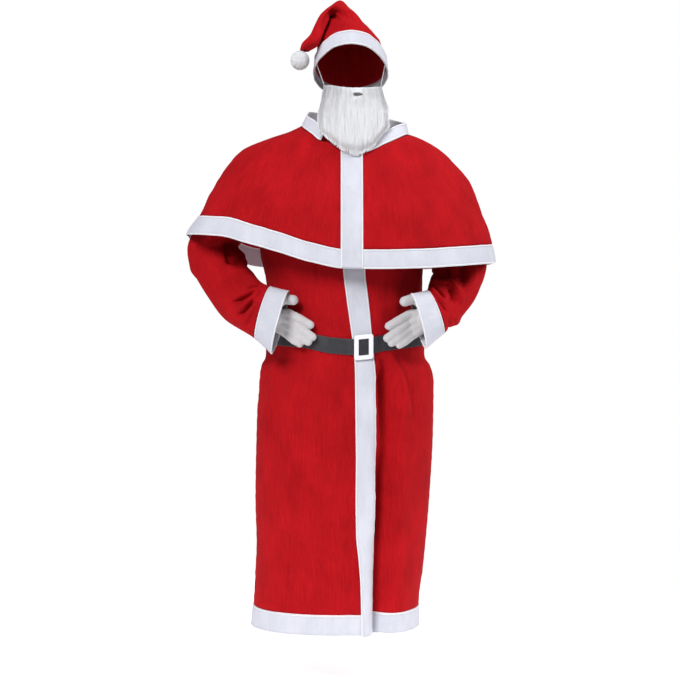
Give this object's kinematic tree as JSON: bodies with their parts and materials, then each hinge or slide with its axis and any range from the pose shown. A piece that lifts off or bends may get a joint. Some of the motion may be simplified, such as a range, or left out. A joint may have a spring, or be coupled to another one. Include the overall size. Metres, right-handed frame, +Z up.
{
  "type": "santa suit",
  "caption": "Worn costume of a long belted robe with a short cape and collar, peaked cap with pompom, false beard and gloves, hollow throughout.",
  "frame": {"origin": "middle of the wearer's neck, level with the sides of the cape's neckline", "axes": "+Z up, -Y out of the suit's front, +X to the right as seen from the front"},
  "size_m": [0.8148, 0.4478, 1.6445],
  "materials": {
    "red_felt": "napped felt with a faint upright streak",
    "white_felt": "soft white felt with stitched edges",
    "white_plush": "short plush",
    "white_pile": "long straight pile",
    "white_cotton": "fine knitted cotton",
    "white_elastic": "woven elastic",
    "black_belt": "smooth imitation leather",
    "white_plastic": "moulded, slightly glossy"
  },
  "bodies": {
    "root": {"beard": "white_pile", "beard_elastic": "white_elastic", "belt": "black_belt", "buckle": "white_plastic", "cape_back": "red_felt", "cape_collar": "white_felt", "cape_front_left": "red_felt", "cape_front_right": "red_felt", "cape_hem_back": "white_felt", "cape_hem_front_left": "white_felt", "cape_hem_front_right": "white_felt", "cape_placket": "white_felt", "cuff_left": "white_felt", "cuff_right": "white_felt", "glove_left": "white_cotton", "glove_right": "white_cotton", "hat_band": "white_felt", "hat_crown": "red_felt", "pompom": "white_plush", "robe_back": "red_felt", "robe_front_left": "red_felt", "robe_front_right": "red_felt", "robe_hem_back": "white_felt", "robe_hem_front_left": "white_felt", "robe_hem_front_right": "white_felt", "robe_placket": "white_felt", "sleeve_left": "red_felt", "sleeve_right": "red_felt"}
  },
  "joints": []
}
